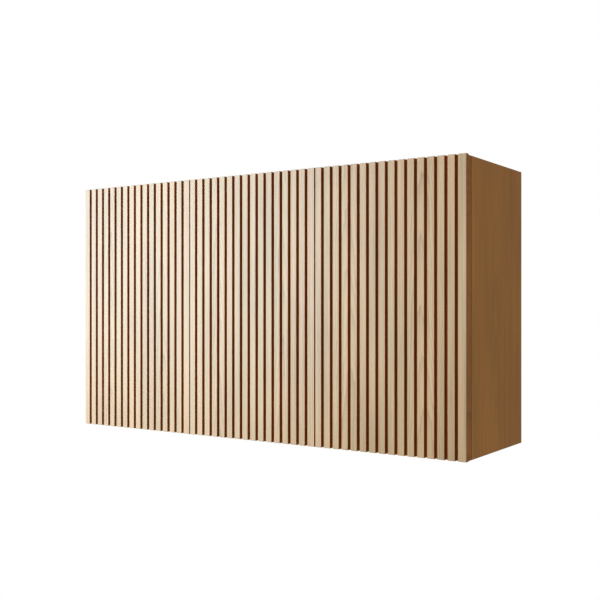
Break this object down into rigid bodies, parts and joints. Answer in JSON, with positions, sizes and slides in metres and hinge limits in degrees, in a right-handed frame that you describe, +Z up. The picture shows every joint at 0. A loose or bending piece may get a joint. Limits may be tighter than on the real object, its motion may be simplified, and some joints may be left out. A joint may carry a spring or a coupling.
{
  "type": "wall cabinet",
  "caption": "Wall-hung cabinet with a row of vertically fluted wooden doors, concealed cup hinges, push latches, a partition, shelves and a hanging rail behind.",
  "frame": {"origin": "middle of the wall rail's rear face, on the wall plane", "axes": "+X to the right as seen from the front, +Y into the wall, +Z up; the doors face -Y"},
  "size_m": [1.05, 0.3, 0.6],
  "materials": {
    "slat_oak": "pale oak veneer, matt clear lacquer, vertical grain",
    "panel_oak": "warm oak veneer, matt clear lacquer",
    "inside_oak": "oak-pattern laminate, matt",
    "nickel": "nickel-plated pressed steel",
    "zinc": "zinc-plated steel, satin",
    "grey_plastic": "light grey moulded plastic, fine grain"
  },
  "bodies": {
    "carcass": {"left_side_panel": "panel_oak", "right_side_panel": "panel_oak", "top_panel": "panel_oak", "bottom_panel": "panel_oak", "back_panel": "inside_oak", "partition": "inside_oak", "left_shelf": "inside_oak", "left_shelf_pin_front_left": "nickel", "left_shelf_pin_front_right": "nickel", "left_shelf_pin_rear_left": "nickel", "left_shelf_pin_rear_right": "nickel", "right_shelf": "inside_oak", "right_shelf_pin_front_left": "nickel", "right_shelf_pin_front_right": "nickel", "right_shelf_pin_rear_left": "nickel", "right_shelf_pin_rear_right": "nickel", "wall_rail": "zinc", "left_hanger": "grey_plastic", "right_hanger": "grey_plastic", "left_latch_housing": "grey_plastic", "left_door_lower_hinge_arm": "nickel", "left_door_lower_hinge_plate": "zinc", "left_door_upper_hinge_arm": "nickel", "left_door_upper_hinge_plate": "zinc", "middle_latch_housing": "grey_plastic", "middle_door_lower_hinge_arm": "nickel", "middle_door_lower_hinge_plate": "zinc", "middle_door_upper_hinge_arm": "nickel", "middle_door_upper_hinge_plate": "zinc", "right_latch_housing": "grey_plastic", "right_door_lower_hinge_arm": "nickel", "right_door_lower_hinge_plate": "zinc", "right_door_upper_hinge_arm": "nickel", "right_door_upper_hinge_plate": "zinc"},
    "left_door": {"left_door_fluted_front": "slat_oak", "left_door_base": "panel_oak", "left_door_strike_plate": "zinc", "left_door_lower_hinge_cup": "nickel", "left_door_upper_hinge_cup": "nickel"},
    "left_hinge_links": {"left_door_lower_hinge_link": "nickel", "left_door_upper_hinge_link": "nickel"},
    "left_plunger": {"left_latch_plunger": "grey_plastic"},
    "middle_door": {"middle_door_fluted_front": "slat_oak", "middle_door_base": "panel_oak", "middle_door_strike_plate": "zinc", "middle_door_lower_hinge_cup": "nickel", "middle_door_upper_hinge_cup": "nickel"},
    "middle_hinge_links": {"middle_door_lower_hinge_link": "nickel", "middle_door_upper_hinge_link": "nickel"},
    "middle_plunger": {"middle_latch_plunger": "grey_plastic"},
    "right_door": {"right_door_fluted_front": "slat_oak", "right_door_base": "panel_oak", "right_door_strike_plate": "zinc", "right_door_lower_hinge_cup": "nickel", "right_door_upper_hinge_cup": "nickel"},
    "right_hinge_links": {"right_door_lower_hinge_link": "nickel", "right_door_upper_hinge_link": "nickel"},
    "right_plunger": {"right_latch_plunger": "grey_plastic"}
  },
  "joints": [
    {"name": "left_door_hinge", "type": "hinge", "parent": "carcass", "child": "left_door", "pos_m": [-0.5162, -0.2926, -0.233], "axis": [0, 0, -1], "range_deg": [0, 95]},
    {"name": "left_link_pivot", "type": "hinge", "parent": "left_door", "child": "left_hinge_links", "pos_m": [-0.5115, -0.2825, -0.233], "axis": [0, 0, 1], "range_deg": [0, 100]},
    {"name": "left_plunger_travel", "type": "slide", "parent": "carcass", "child": "left_plunger", "axis": [0, -1, 0], "range_m": [0, 0.014]},
    {"name": "middle_door_hinge", "type": "hinge", "parent": "carcass", "child": "middle_door", "pos_m": [-0.1652, -0.2926, -0.233], "axis": [0, 0, -1], "range_deg": [0, 95]},
    {"name": "middle_link_pivot", "type": "hinge", "parent": "middle_door", "child": "middle_hinge_links", "pos_m": [-0.1605, -0.2825, -0.233], "axis": [0, 0, 1], "range_deg": [0, 100]},
    {"name": "middle_plunger_travel", "type": "slide", "parent": "carcass", "child": "middle_plunger", "axis": [0, -1, 0], "range_m": [0, 0.014]},
    {"name": "right_door_hinge", "type": "hinge", "parent": "carcass", "child": "right_door", "pos_m": [0.5162, -0.2926, -0.233], "axis": [0, 0, 1], "range_deg": [0, 95]},
    {"name": "right_link_pivot", "type": "hinge", "parent": "right_door", "child": "right_hinge_links", "pos_m": [0.5115, -0.2825, -0.233], "axis": [0, 0, -1], "range_deg": [0, 100]},
    {"name": "right_plunger_travel", "type": "slide", "parent": "carcass", "child": "right_plunger", "axis": [0, -1, 0], "range_m": [0, 0.014]}
  ],
  "couplings": [
    {"joint": "left_link_pivot", "follows": "left_door_hinge", "ratio": 1.05},
    {"joint": "left_plunger_travel", "follows": "left_door_hinge", "m_per_rad": 0.0084},
    {"joint": "middle_link_pivot", "follows": "middle_door_hinge", "ratio": 1.05},
    {"joint": "middle_plunger_travel", "follows": "middle_door_hinge", "m_per_rad": 0.0084},
    {"joint": "right_link_pivot", "follows": "right_door_hinge", "ratio": 1.05},
    {"joint": "right_plunger_travel", "follows": "right_door_hinge", "m_per_rad": 0.0084}
  ]
}
